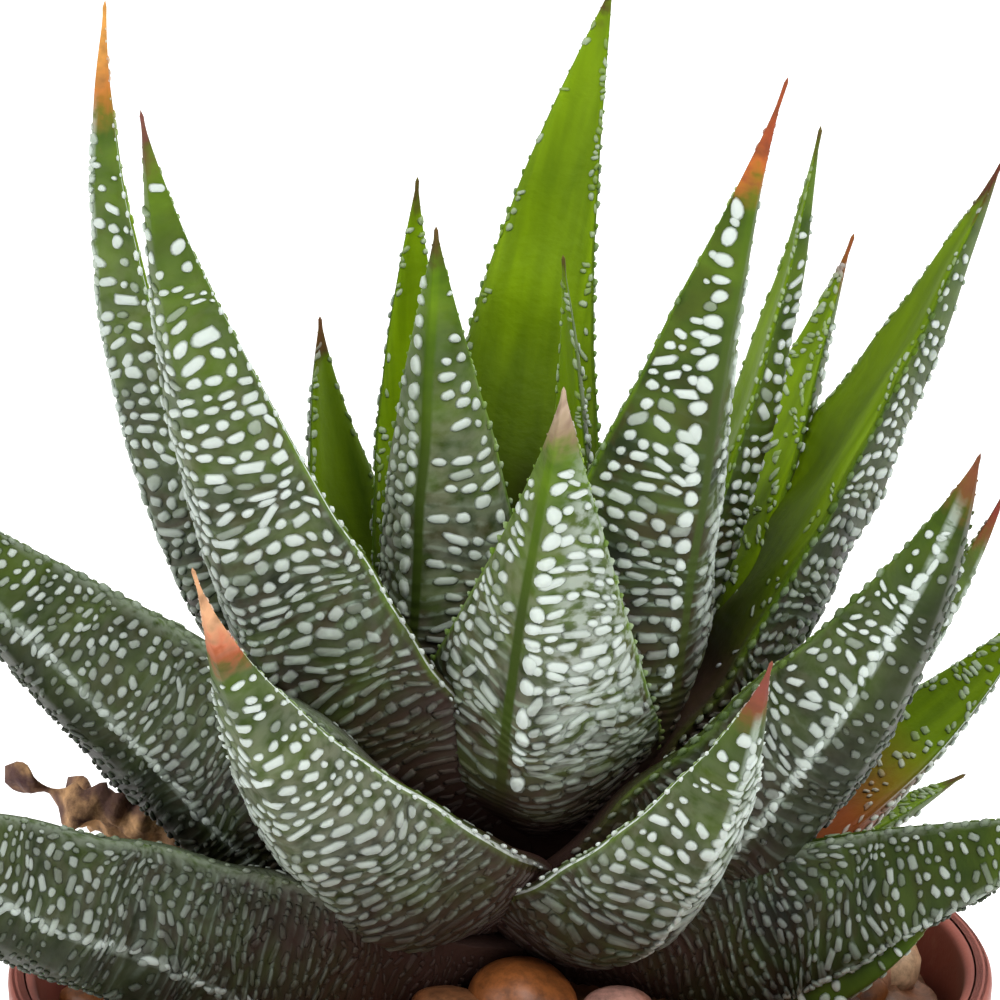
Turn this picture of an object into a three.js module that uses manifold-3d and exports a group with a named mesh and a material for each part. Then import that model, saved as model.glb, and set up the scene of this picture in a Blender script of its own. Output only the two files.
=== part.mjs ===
// A zebra haworthia in a round plastic pot, in millimetres, +Z up.
// The origin is the centre of the pot's foot, and -Y is the side that the photograph shows.

import * as THREE from "three";
import { mergeVertices } from "three/addons/utils/BufferGeometryUtils.js";
import Module from "manifold-3d";

const GAP = 0.3; // clearance between pieces that touch on the real plant
const WELD = 1e-4; // points closer than this are one point

// The pot: a thin-walled tapered cup with a band under its lip.
const POT = {
  height: 54,
  rimRadius: 30,
  bandHeight: 6.5,
  bandStep: 0.9,
  draft: 0.4,
  edgeRound: 0.5,
  footRadius: 20.5,
  wall: 1.3,
  floor: 1.6,
  sides: 32,
  drainCount: 6,
  drainRadius: 2.5,
  drainRing: 13,
  drainSides: 8,
};

// What fills the pot. Depths are measured down from the rim.
const FILL = {
  soilDepth: 5.2,
  soilMoundRise: 1,
  soilMoundRadius: 13.4,
  gravelEdgeDepth: 3.4,
  gravelCentreRise: 1.4,
  moundPower: 1.3,
  bedSides: 24,
  stemHoleRadius: 5.4,
  stemHoleDepth: 18,
  pebbleCount: 26,
  pebbleSmall: 2.2,
  pebbleLarge: 3.7,
  pebbleLift: 0.15,
  pebbleCrowding: 0.6,
  seed: 7,
};

// The pebbles that show at the front of the plant: [across, towards the back, size].
const FRONT_PEBBLES = [
  [-0.2, -9.6, 3.8],
  [-7.6, -10.5, 2.5],
  [5.6, -9.8, 2.3],
  [-12.4, -11, 2.2],
  [19.6, -12, 2.4],
];

// The short stem, with the leaf bud at its top. Its axis is a little to the right of the pot's axis.
const STEM = {
  offset: 0.9,
  radius: 4.3,
  rootRadius: 2.6,
  rootTaper: 4,
  neckTaper: 7,
  neckRise: 14,
  budRadius: 1.4,
  budRise: 22,
  sides: 16,
};

// The leaves, oldest first. azimuth is the direction that the leaf points in, seen from above, in
// degrees from +X towards +Y. reach is how far the tip is from the stem's axis, height how far it is
// above the rim, and rise how far above the rim the leaf leaves the stem. bend is the angle by which
// the leaf curves up along its length, bow its sideways curve in millimetres, and roll its twist in
// degrees, which turns the outer face to the front on a left leaf. slim draws the leaf in towards its
// tip: the higher it is, the longer and thinner the tip, and under 1 the tip is blunt.
const LEAVES = [
  { name: "low_left", azimuth: 202, reach: 52, height: 21, rise: 3.8, bend: 36, width: 19.5, roll: 66 },
  { name: "low_right", azimuth: 348, reach: 37, height: 12.8, rise: 3.2, bend: 18, width: 18, roll: -60 },
  { name: "small_right", azimuth: 342, reach: 26.8, height: 6.5, rise: 1.6, bend: 80, width: 8, roll: -50 },
  { name: "low_back_right", azimuth: 24, reach: 30.5, height: 8, rise: 3, bend: 15, width: 12 },
  { name: "low_back", azimuth: 100, reach: 31, height: 13, rise: 3.6, bend: 30, width: 12 },
  { name: "low_back_left", azimuth: 150, reach: 30, height: 11, rise: 3.6, bend: 20, width: 11 },
  { name: "low_far_right", azimuth: 58, reach: 31, height: 13, rise: 4, bend: 30, width: 12 },
  {
    name: "front_left", azimuth: 232, reach: 30.5, height: 33.5, rise: 7.5, bend: 51,
    width: 17.5, roll: 15, slim: 1.5,
  },
  {
    name: "front_right", azimuth: 307, reach: 25, height: 26.4, rise: 5.2, bend: 50,
    width: 14.5, roll: -10, slim: 1.3,
  },
  { name: "left", azimuth: 195, reach: 41, height: 36, rise: 6.5, bend: 14, width: 21.5, roll: 52 },
  { name: "right_low", azimuth: 16, reach: 34, height: 21, rise: 5, bend: 50, width: 13.5, roll: 20 },
  { name: "right_rear", azimuth: 6, reach: 30, height: 29.8, rise: 6.5, bend: 45, width: 11, roll: -15 },
  { name: "right", azimuth: 340, reach: 29.3, height: 36, rise: 7, bend: 47, width: 19, roll: -40 },
  { name: "back_right", azimuth: 78, reach: 22, height: 30, rise: 7, bend: 35, width: 12.5 },
  { name: "back_left", azimuth: 115, reach: 20, height: 26, rise: 7, bend: 35, width: 12 },
  { name: "rear_left", azimuth: 137, reach: 16.2, height: 38, rise: 8, bend: 46, width: 12.5 },
  { name: "tall_left_rear", azimuth: 180, reach: 24.3, height: 61, rise: 9, bend: 50, width: 13, roll: 15 },
  {
    name: "tall_left", azimuth: 211, reach: 25.5, height: 58, rise: 9.5, bend: 33,
    width: 16, roll: 30, slim: 1.2,
  },
  { name: "front", azimuth: 280, reach: 16.3, height: 42, rise: 12, bend: 42, width: 15, roll: -35 },
  { name: "tall_right", azimuth: 12, reach: 30, height: 49.3, rise: 9, bend: 13, width: 16, roll: 2 },
  { name: "upper_right", azimuth: 30, reach: 23.8, height: 43, rise: 9, bend: 20, width: 16, slim: 1.35 },
  { name: "right_behind", azimuth: 9, reach: 18.5, height: 52.4, rise: 10, bend: 20, width: 9 },
  {
    name: "right_centre", azimuth: 331, reach: 18.3, height: 58.8, rise: 10, bend: 5,
    width: 17, roll: -25, bow: -2.4, slim: 1.45,
  },
  {
    name: "back_tall", azimuth: 64, reach: 13.4, height: 58.5, rise: 10, bend: 10,
    width: 12.5, bow: 3.5, slim: 0.95,
  },
  { name: "heart_rear", azimuth: 123, reach: 10.8, height: 47.4, rise: 11, bend: 25, width: 10.5, bow: 1 },
  { name: "heart_left", azimuth: 213, reach: 5.6, height: 47.9, rise: 11, bend: 10, width: 13, roll: 38 },
  { name: "heart_right", azimuth: 35, reach: 3.5, height: 44.6, rise: 12, bend: 6, width: 6.5, bow: -1 },
];

// Dead leaves at the foot of the plant: broken off short, curled and papery.
const DRY_LEAVES = [
  {
    name: "left", azimuth: 177, reach: 31, height: 12.3, rise: 2.6, bend: 20,
    width: 9, roll: 45, slim: 0.35,
  },
  {
    name: "back", azimuth: 169, reach: 27.8, height: 10.3, rise: 2.4, bend: 35,
    width: 9.5, roll: 45, slim: 0.35,
  },
];

// The leaf's form, as shares of its length or width.
const LEAF = {
  start: 2, // distance from the axis at which the leaf's middle line starts, inside the stem
  widest: 0.26,
  baseShare: 0.72,
  taper: 1.2,
  slim: 1.1,
  depth: 0.34,
  depthAtTip: 0.5,
  innerCrown: 0.07,
  thinnest: 0.35,
  narrowest: 0.32,
  keelSoft: 2,
  keelSharp: 1.25,
  smoothBase: 0.14,
  smoothWidth: 2.4,
  lastRing: 0.97,
  rowSpacing: 3,
  bump: 0.55,
  bumpClearance: 0.7, // share of a bump's height that an older leaf gives way to
  tooth: 0.35,
  toothWidth: 2,
  tolerance: 0.04,
  dryRows: 8,
  clearanceRows: 11,
};

// Places across the leaf, as shares of its half width, where its outer and inner faces have corners.
const OUTER_ACROSS = [-1, -0.78, -0.39, 0, 0.39, 0.78, 1];
const INNER_ACROSS = [0.45, -0.45];

// The leaves of the heart and of the far side show the bright inner face: those taller than this that
// point away from the front.
const HEART = { height: 42, azimuth: 150 };

const COLOURS = {
  leaf: 0x4a5d23,
  heartLeaf: 0x63800f,
  dryLeaf: 0x7a5236,
  stem: 0x5a3b26,
  soil: 0x35261b,
  gravel: 0x9c6a45,
  pot: 0x8a4638,
};

const GOLDEN_ANGLE = Math.PI * (3 - Math.sqrt(5)); // spreads points evenly round a spiral
const radians = (degrees) => (degrees * Math.PI) / 180;

const wasm = await Module();
wasm.setup();

// A closed geometry as a solid that can be joined and cut.
function solidOf(geometry) {
  const bare = new THREE.BufferGeometry();
  bare.setAttribute("position", geometry.getAttribute("position"));
  bare.setIndex(geometry.getIndex());
  const merged = mergeVertices(bare, WELD);
  return new wasm.Manifold(
    new wasm.Mesh({
      numProp: 3,
      vertProperties: new Float32Array(merged.attributes.position.array),
      triVerts: new Uint32Array(merged.index.array),
    }),
  );
}

// The largest body of a solid: loose scraps left by a cut are dropped.
function mainBody(solid) {
  const bodies = solid.decompose();
  return bodies.reduce((a, b) => (b.volume() > a.volume() ? b : a));
}

function meshOf(name, solid, color, roughness) {
  const { vertProperties, triVerts, numProp } = solid.getMesh();
  const geometry = new THREE.BufferGeometry();
  const positions = new Float32Array((vertProperties.length / numProp) * 3);
  for (let i = 0; i < positions.length / 3; i++) {
    positions.set(vertProperties.subarray(i * numProp, i * numProp + 3), i * 3);
  }
  geometry.setAttribute("position", new THREE.BufferAttribute(positions, 3));
  geometry.setIndex(new THREE.BufferAttribute(new Uint32Array(triVerts), 1));
  geometry.computeVertexNormals();
  const material = new THREE.MeshStandardMaterial({ color, roughness, metalness: 0 });
  const mesh = new THREE.Mesh(geometry, material);
  mesh.name = name;
  return mesh;
}

// A turned solid from [radius, height] points that start and end on the axis.
function turned(points, sides) {
  const profile = points.map(([r, z]) => new THREE.Vector2(r, z));
  return solidOf(new THREE.LatheGeometry(profile, sides).rotateX(Math.PI / 2));
}

// Point and directions on a leaf's middle line, t from 0 at the stem to 1 at the tip. The line is an
// arc in the upright plane of the leaf's azimuth, bowed sideways by half a sine wave.
function leafFrame(leaf, t) {
  const bend = radians(leaf.bend);
  const run = leaf.reach - LEAF.start;
  const climb = leaf.height - leaf.rise;
  const chord = Math.hypot(run, climb);
  const length = (chord * bend) / 2 / Math.sin(bend / 2);
  const first = Math.atan2(climb, run) - bend / 2;
  const angle = first + bend * t;
  const out = LEAF.start + (length / bend) * (Math.sin(angle) - Math.sin(first));
  const up = (length / bend) * (Math.cos(first) - Math.cos(angle));
  const bow = leaf.bow ?? 0;
  const azimuth = radians(leaf.azimuth);
  const outward = new THREE.Vector3(Math.cos(azimuth), Math.sin(azimuth), 0);
  const side = new THREE.Vector3(-outward.y, outward.x, 0);
  const point = new THREE.Vector3(STEM.offset, 0, POT.height + leaf.rise + up)
    .addScaledVector(outward, out)
    .addScaledVector(side, bow * Math.sin(Math.PI * t));
  const along = new THREE.Vector3(0, 0, Math.sin(angle))
    .addScaledVector(outward, Math.cos(angle))
    .addScaledVector(side, ((bow * Math.PI) / length) * Math.cos(Math.PI * t))
    .normalize();
  const across = side
    .clone()
    .addScaledVector(along, -side.dot(along))
    .normalize()
    .applyAxisAngle(along, radians((leaf.roll ?? 0) * Math.sin((Math.PI / 2) * t)));
  const inner = new THREE.Vector3().crossVectors(along, across).normalize();
  return { point, along, across, inner, length };
}

// Full width of the leaf at t: it swells from the base and then tapers to the tip.
function leafWidth(leaf, t) {
  if (t < LEAF.widest) {
    const swell = Math.sin((Math.PI / 2) * (t / LEAF.widest));
    return leaf.width * (LEAF.baseShare + (1 - LEAF.baseShare) * swell);
  }
  const u = (t - LEAF.widest) / (1 - LEAF.widest);
  return leaf.width * (1 - u ** LEAF.taper) ** (leaf.slim ?? LEAF.slim);
}

// A leaf as a closed solid. swell grows it all round. Where bumps is true, each cell of the outer face
// is raised to a point, as the white bumps of the real leaf are, and the margins are toothed.
function leafSolid(leaf, { rows, swell = 0, bumps = false }) {
  const positions = [];
  const index = [];
  const rings = [];
  const ring = OUTER_ACROSS.length + INNER_ACROSS.length;
  const push = (p) => positions.push(p.x, p.y, p.z) / 3 - 1;
  for (let i = 0; i <= rows; i++) {
    const t = (LEAF.lastRing * i) / rows;
    const { point, across, inner } = leafFrame(leaf, t);
    const width = leafWidth(leaf, t);
    const half = Math.max(width / 2, LEAF.narrowest) + swell;
    const share = LEAF.depth + (LEAF.depthAtTip - LEAF.depth) * t;
    const depth = Math.max(width * share, LEAF.thinnest) + swell;
    const crown = Math.max(width * LEAF.innerCrown, LEAF.thinnest) + swell;
    const keel = LEAF.keelSoft + (LEAF.keelSharp - LEAF.keelSoft) * t;
    const place = (u, up) => point.clone().addScaledVector(across, u * half).addScaledVector(inner, up);
    const tooth = bumps && i % 2 === 1 && width > LEAF.toothWidth ? 1 + LEAF.tooth / half : 1;
    const outer = OUTER_ACROSS.map((u) => {
      const wide = Math.abs(u) === 1 ? u * tooth : u;
      return push(place(wide, -depth * (1 - Math.abs(u) ** keel)));
    });
    const lining = INNER_ACROSS.map((u) => push(place(u, crown * (1 - u * u))));
    rings.push({ t, inner, width, corners: [...outer, ...lining] });
  }
  const vertex = (k) => new THREE.Vector3(...positions.slice(3 * k, 3 * k + 3));
  for (let i = 0; i < rows; i++) {
    const { t, inner, width, corners } = rings[i];
    const next = rings[i + 1].corners;
    const isRough = bumps && t > LEAF.smoothBase && width > LEAF.smoothWidth;
    for (let j = 0; j < ring; j++) {
      const k = (j + 1) % ring;
      const [a, b, c, d] = [corners[j], corners[k], next[k], next[j]];
      if (isRough && j > 0 && j < OUTER_ACROSS.length - 2) {
        const middle = vertex(a).add(vertex(b)).add(vertex(c)).add(vertex(d)).divideScalar(4);
        const peak = push(middle.addScaledVector(inner, -LEAF.bump));
        index.push(a, b, peak, b, c, peak, c, d, peak, d, a, peak);
      } else {
        index.push(a, b, c, a, c, d);
      }
    }
  }
  const base = leafFrame(leaf, 0);
  const top = leafFrame(leaf, 1);
  const root = push(base.point.addScaledVector(base.along, -swell));
  const tip = push(top.point.addScaledVector(top.along, swell));
  for (let j = 0; j < ring; j++) {
    const k = (j + 1) % ring;
    index.push(root, rings[0].corners[k], rings[0].corners[j]);
    index.push(rings[rows].corners[j], rings[rows].corners[k], tip);
  }
  const geometry = new THREE.BufferGeometry();
  geometry.setAttribute("position", new THREE.BufferAttribute(new Float32Array(positions), 3));
  geometry.setIndex(index);
  return solidOf(geometry);
}

// The pot's inner wall: a straight cone from the floor to just under the lip.
const bandFoot = POT.height - POT.bandHeight;
const underBand = POT.rimRadius - POT.bandStep;
const slope = (underBand - POT.footRadius) / bandFoot;
const innerTop = POT.rimRadius - POT.wall - POT.draft;
const innerFoot = POT.footRadius + slope * POT.floor - POT.wall;
const lipFoot = POT.height - POT.edgeRound;

// The pot: a tapered cup with a band at the rim, and drainage holes in its floor.
function makePot() {
  const cup = turned(
    [
      [0, 0],
      [POT.footRadius - POT.edgeRound, 0],
      [POT.footRadius, POT.edgeRound],
      [underBand - POT.draft, bandFoot],
      [POT.rimRadius - POT.draft, bandFoot + POT.edgeRound],
      [POT.rimRadius, lipFoot],
      [POT.rimRadius - POT.edgeRound, POT.height],
      [innerTop + POT.edgeRound, POT.height],
      [innerTop, lipFoot],
      [innerFoot, POT.floor],
      [0, POT.floor],
    ],
    POT.sides,
  );
  const drains = [];
  for (let i = 0; i < POT.drainCount; i++) {
    const angle = (2 * Math.PI * i) / POT.drainCount;
    const depth = 3 * POT.floor;
    const hole = new THREE.CylinderGeometry(POT.drainRadius, POT.drainRadius, depth, POT.drainSides);
    hole.rotateX(Math.PI / 2);
    hole.translate(POT.drainRing * Math.cos(angle), POT.drainRing * Math.sin(angle), 0);
    drains.push(solidOf(hole));
  }
  return cup.subtract(wasm.Manifold.union(drains));
}

// Radius of what fills the pot at height z: the inner wall's, less the clearance.
function fillRadius(z) {
  const share = (z - POT.floor) / (lipFoot - POT.floor);
  return innerFoot + (innerTop - innerFoot) * share - 2 * GAP;
}

// The soil, mounded a little round a plain hole for the stem.
function makeSoil() {
  const foot = POT.floor + GAP;
  const top = POT.height - FILL.soilDepth;
  const mound = top + FILL.soilMoundRise;
  const holeFloor = POT.height - FILL.stemHoleDepth;
  return turned(
    [
      [0, foot],
      [fillRadius(foot), foot],
      [fillRadius(top), top],
      [FILL.soilMoundRadius, mound],
      [FILL.stemHoleRadius, mound],
      [FILL.stemHoleRadius, holeFloor],
      [0, holeFloor],
    ],
    POT.sides,
  );
}

// Repeatable draws from 0 to 1.
function drawsFrom(seed) {
  let state = seed;
  return () => {
    state = (state * 48271) % 2147483647;
    return state / 2147483647;
  };
}

// The gravel: a thin bed with flattened pebbles sunk into it, on a spiral of even spacing.
function makeGravel() {
  const bedFoot = POT.height - FILL.soilDepth + FILL.soilMoundRise + GAP;
  const edge = POT.height - FILL.gravelEdgeDepth;
  const centre = POT.height + FILL.gravelCentreRise;
  const outer = fillRadius(edge);
  const inner = FILL.stemHoleRadius;
  const middle = (inner + outer) / 2;
  const levelAt = (reach) => {
    const share = (reach - inner) / (outer - inner);
    return centre - (centre - edge) * share ** FILL.moundPower;
  };
  const bed = turned(
    [
      [inner, bedFoot],
      [outer, bedFoot],
      [outer, edge],
      [middle, levelAt(middle)],
      [inner, centre],
      [inner, bedFoot],
    ],
    FILL.bedSides,
  );
  const draw = drawsFrom(FILL.seed);
  const pebbleAt = (x, y, size) => {
    const pebble = new THREE.IcosahedronGeometry(size, 0);
    pebble.scale(1, 0.7 + 0.3 * draw(), 0.55 + 0.2 * draw());
    pebble.rotateX(0.5 * (draw() - 0.5));
    pebble.rotateZ(2 * Math.PI * draw());
    return solidOf(pebble.translate(x, y, levelAt(Math.hypot(x, y)) + FILL.pebbleLift * size));
  };
  const pebbles = FRONT_PEBBLES.map(([x, y, size]) => pebbleAt(x, y, size));
  for (let i = 0; i < FILL.pebbleCount; i++) {
    const size = FILL.pebbleSmall + (FILL.pebbleLarge - FILL.pebbleSmall) * draw() ** 1.5;
    const nearest = inner + size / 2;
    const furthest = outer - size;
    const reach = nearest + (furthest - nearest) * Math.sqrt((i + 0.5) / FILL.pebbleCount);
    const angle = i * GOLDEN_ANGLE + 0.3 * draw();
    const [x, y] = [reach * Math.cos(angle), reach * Math.sin(angle)];
    const isClear = FRONT_PEBBLES.every(
      ([a, b, other]) => Math.hypot(a - x, b - y) > FILL.pebbleCrowding * (other + size),
    );
    if (isClear) pebbles.push(pebbleAt(x, y, size));
  }
  return bed.add(wasm.Manifold.union(pebbles));
}

// The stem: a stout root end in the soil, and a neck that ends in the pointed bud of the leaves to come.
function stemSolid(swell) {
  const foot = POT.height - FILL.stemHoleDepth + GAP - swell;
  const neck = POT.height + STEM.neckRise;
  return turned(
    [
      [0, foot],
      [STEM.rootRadius + swell, foot],
      [STEM.radius + swell, foot + STEM.rootTaper],
      [STEM.radius + swell, neck - STEM.neckTaper],
      [STEM.budRadius + swell, neck],
      [0, POT.height + STEM.budRise + swell],
    ],
    STEM.sides,
  ).translate([STEM.offset, 0, 0]);
}

const plant = new THREE.Group();
const rowsOf = (leaf) => Math.round(leafFrame(leaf, 0).length / LEAF.rowSpacing);
const clearStem = stemSolid(GAP);
const clearance = GAP + LEAF.bump * LEAF.bumpClearance;
const inflated = LEAVES.map((leaf) => leafSolid(leaf, { rows: LEAF.clearanceRows, swell: clearance }));

// Each leaf is hollowed by the younger leaves that it wraps, and stops short of the stem.
const leafSolids = LEAVES.map((leaf, i) => {
  const whole = leafSolid(leaf, { rows: rowsOf(leaf), bumps: true });
  const younger = wasm.Manifold.union([clearStem, ...inflated.slice(i + 1)]);
  return mainBody(whole.subtract(younger)).simplify(LEAF.tolerance);
});
LEAVES.forEach((leaf, i) => {
  const isBright = leaf.height > HEART.height && leaf.azimuth < HEART.azimuth;
  plant.add(meshOf(`leaf_${leaf.name}`, leafSolids[i], isBright ? COLOURS.heartLeaf : COLOURS.leaf, 0.45));
});

// The dead leaves give way to all that has grown since, and the gravel to every leaf.
let around = wasm.Manifold.union([clearStem, ...inflated]);
DRY_LEAVES.forEach((leaf) => {
  const whole = leafSolid(leaf, { rows: LEAF.dryRows });
  plant.add(meshOf(`dry_leaf_${leaf.name}`, mainBody(whole.subtract(around)), COLOURS.dryLeaf, 0.9));
  around = around.add(leafSolid(leaf, { rows: LEAF.dryRows, swell: GAP }));
});

plant.add(meshOf("stem", stemSolid(0), COLOURS.stem, 0.8));

const potted = new THREE.Group();
potted.add(meshOf("pot", makePot(), COLOURS.pot, 0.55));
potted.add(meshOf("soil", makeSoil(), COLOURS.soil, 0.95));
const gravel = mainBody(makeGravel().subtract(around)).simplify(LEAF.tolerance);
potted.add(meshOf("gravel", gravel, COLOURS.gravel, 0.7));

const pottedHaworthia = new THREE.Group();
pottedHaworthia.add(potted, plant);

export default pottedHaworthia;
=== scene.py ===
"""A potted haworthia: one rosette of white-bumped leaves in gravel, in a round plastic pot."""

import math
from collections import namedtuple

import bpy
import numpy as np
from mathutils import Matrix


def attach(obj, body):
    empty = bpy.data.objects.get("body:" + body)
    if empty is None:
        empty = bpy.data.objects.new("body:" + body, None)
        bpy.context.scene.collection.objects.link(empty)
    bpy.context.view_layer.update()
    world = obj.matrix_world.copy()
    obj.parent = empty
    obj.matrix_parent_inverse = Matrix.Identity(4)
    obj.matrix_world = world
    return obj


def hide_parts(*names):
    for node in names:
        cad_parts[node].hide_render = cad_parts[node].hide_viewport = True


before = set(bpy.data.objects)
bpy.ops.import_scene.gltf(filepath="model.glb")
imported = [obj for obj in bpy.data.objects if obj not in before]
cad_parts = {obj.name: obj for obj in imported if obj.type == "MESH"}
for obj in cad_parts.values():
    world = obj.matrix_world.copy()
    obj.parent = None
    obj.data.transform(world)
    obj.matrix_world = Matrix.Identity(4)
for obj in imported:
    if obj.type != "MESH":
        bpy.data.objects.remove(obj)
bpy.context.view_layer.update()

# The pot
# A nursery pot of terracotta-brown polypropylene, injection moulded: a thin tapered wall, a band
# under the rounded lip, and six drainage holes. The mould leaves it matte, and handling scuffs it.

MM = 0.001
POT = {
    "height": 54,
    "rim": 30,
    "band": 6.5,
    "band_step": 0.9,
    "draft": 0.4,
    "edge": 0.5,
    "foot": 20.5,
    "wall": 1.3,
    "floor": 1.6,
    "foot_ring": 0.6,
    "ring_width": 2.6,
    "lip": 0.7,
}
DRAINS = {"count": 6, "radius": 2.5, "ring": 13, "below": -2, "above": 4, "sides": 32}
POT_SIDES = 144
SHARP_EDGE = math.radians(50)
POLYPROPYLENE_IOR = 1.49


def linear(hex_colour):
    """An sRGB hex colour as linear red, green, blue and alpha."""
    srgb = np.array([int(hex_colour[i : i + 2], 16) / 255 for i in (1, 3, 5)])
    rgb = np.where(srgb <= 0.04045, srgb / 12.92, ((srgb + 0.055) / 1.055) ** 2.4)
    return (*rgb.tolist(), 1.0)


def feed(tree, node, inputs):
    """Gives each input of a node a value, or the output that it is linked from."""
    for name, value in inputs.items():
        if isinstance(value, bpy.types.NodeSocket):
            tree.links.new(value, node.inputs[name])
        else:
            node.inputs[name].default_value = value


def add(tree, kind, inputs=None, **settings):
    """Adds one node with its settings, and feeds its inputs."""
    made = tree.nodes.new("ShaderNode" + kind)
    for name, value in settings.items():
        setattr(made, name, value)
    feed(tree, made, inputs or {})
    return made


def share_of(*masks, most=1.0):
    """Where all of these masks hold, from 0 to most. A mask is a value, where it starts to hold and
    where it holds in full, and the masks are multiplied."""
    tree = masks[0][0].id_data
    product = None
    for value, start, full in masks:
        limits = {"Value": value, "From Min": start, "From Max": full, "To Max": most}
        held = add(tree, "MapRange", limits).outputs["Result"]
        most = 1.0
        if product is not None:
            held = add(tree, "Math", {0: product, 1: held}, operation="MULTIPLY").outputs[0]
        product = held
    return product


def coat(under, over, *masks, most=1.0):
    """A coat of one colour over another, where all of the masks hold. A colour is a hex or an output."""
    under, over = (linear(colour) if isinstance(colour, str) else colour for colour in (under, over))
    share = share_of(*masks, most=most)
    return add(share.id_data, "Mix", {0: share, 6: under, 7: over}, data_type="RGBA").outputs[2]


def material(name):
    """A new material, its node tree and its main shader."""
    made = bpy.data.materials.new(name)
    made.use_nodes = True
    return made, made.node_tree, made.node_tree.nodes["Principled BSDF"]


def dress(tree, shader, colour, roughness, height, strength, depth, **more):
    """Gives a surface its colour and roughness, the relief of a height field at this strength and
    depth in millimetres, and more of the shader's inputs."""
    relief = add(tree, "Bump", {"Height": height, "Strength": strength, "Distance": depth * MM})
    feed(tree, shader, {"Base Color": colour, "Roughness": roughness, "Normal": relief.outputs[0]})
    feed(tree, shader, more)


def mesh_of(name, points, quads, triangles):
    """A smooth mesh from points in millimetres and rows of four and of three corners."""
    mesh = bpy.data.meshes.new(name)
    corners = np.concatenate([np.ravel(quads), np.ravel(triangles)]).astype(np.int32)
    fours = 4 * np.arange(len(quads))
    threes = 4 * len(quads) + 3 * np.arange(len(triangles))
    mesh.vertices.add(len(points))
    mesh.vertices.foreach_set("co", np.ravel(points * MM).astype(np.float32))
    mesh.loops.add(len(corners))
    mesh.loops.foreach_set("vertex_index", corners)
    mesh.polygons.add(len(quads) + len(triangles))
    mesh.polygons.foreach_set("loop_start", np.concatenate([fours, threes]).astype(np.int32))
    mesh.update(calc_edges=True)
    mesh.validate()
    mesh.shade_smooth()
    return mesh


def put(name, data):
    """Adds an object with this mesh, lamp or camera to the scene."""
    made = bpy.data.objects.new(name, data)
    bpy.context.scene.collection.objects.link(made)
    return made


def place(name, mesh, finish, slot, *nodes):
    """Puts a mesh in the scene as the piece that stands for these nodes."""
    made = put(name, mesh)
    made.data.materials.append(finish)
    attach(made, "root")
    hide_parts(*nodes)
    return made


def joined(groups):
    """Groups that start with points, quads and triangles, as the points, quads and triangles of all."""
    starts = np.cumsum([0] + [len(group[0]) for group in groups])
    points = np.concatenate([group[0] for group in groups])
    quads = np.concatenate([group[1] + start for group, start in zip(groups, starts)])
    triangles = np.concatenate([group[2] + start for group, start in zip(groups, starts)])
    return points, quads, triangles


def rounded(corners, steps=5):
    """A profile with rounded corners. Each corner [radius, height, size] becomes a curve that leaves
    and meets its edges at size from the corner, between two more points that hold the edges flat."""
    path = [corners[0][:2]]
    for before, corner, after in zip(corners, corners[1:], corners[2:]):
        middle = np.array(corner[:2], float)
        size = corner[2]
        back = np.array(before[:2]) - middle
        ahead = np.array(after[:2]) - middle
        back *= size / np.linalg.norm(back)
        ahead *= size / np.linalg.norm(ahead)
        path.append(middle + 1.7 * back)
        for s in np.linspace(0, 1, steps):
            path.append(middle + (1 - s) ** 2 * back + s**2 * ahead)
        path.append(middle + 1.7 * ahead)
    path.append(corners[-1][:2])
    return np.array(path, float)


def ring_faces(rings, around):
    """Quads of a grid of rings that close round, each ring being around points."""
    i, j = np.meshgrid(np.arange(rings - 1), np.arange(around), indexing="ij")
    k = (j + 1) % around
    quads = np.stack([i * around + j, i * around + k, (i + 1) * around + k, (i + 1) * around + j], -1)
    return quads.reshape(-1, 4)


def end_fans(around, last, below, above):
    """Triangles that close a grid of rings: a fan round the point numbered below, on the first ring,
    and one round the point numbered above, on the ring that starts at last."""
    a = np.arange(around)
    b = (a + 1) % around
    low = np.stack([np.full(around, below), b, a], -1)
    high = np.stack([np.full(around, above), last + a, last + b], -1)
    return np.concatenate([low, high])


def swept(profile, sides):
    """Rings of points: each [radius, height] of a profile, swept round +Z."""
    turn = 2 * np.pi * np.arange(sides) / sides
    radius, height = profile[:, :1], profile[:, 1:]
    level = np.broadcast_to(height, (len(profile), sides))
    return np.stack([radius * np.cos(turn), radius * np.sin(turn), level], -1).reshape(-1, 3)


def revolved(profile, sides):
    """A profile that starts and ends on the axis, swept round +Z: points, quads and end triangles."""
    grid = swept(profile[1:-1], sides)
    ends = np.array([[0, 0, profile[0, 1]], [0, 0, profile[-1, 1]]])
    rings = len(profile) - 2
    fans = end_fans(sides, (rings - 1) * sides, len(grid), len(grid) + 1)
    return np.concatenate([grid, ends]), ring_faces(rings, sides), fans


band_foot = POT["height"] - POT["band"]
under_band = POT["rim"] - POT["band_step"]
inner_top = POT["rim"] - POT["wall"] - POT["draft"]
slope = (under_band - POT["foot"]) / band_foot
inner_foot = POT["foot"] + slope * POT["floor"] - POT["wall"]
pot_profile = rounded(
    [
        [0, POT["foot_ring"]],
        [POT["foot"] - POT["ring_width"] - POT["foot_ring"], POT["foot_ring"], 0.3],
        [POT["foot"] - POT["ring_width"], 0, 0.3],
        [POT["foot"], 0, 0.6],
        [under_band - POT["draft"], band_foot, 0.25],
        [POT["rim"] - POT["draft"], band_foot + 0.5, 0.3],
        [POT["rim"], POT["height"] - 0.1, 0.6],
        [POT["rim"] - POT["lip"], POT["height"], 0.25],
        [inner_top, POT["height"], 0.45],
        [inner_foot, POT["floor"], 0.8],
        [0, POT["floor"]],
    ]
)
pot_mesh = mesh_of("pot", *revolved(pot_profile, POT_SIDES))

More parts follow.
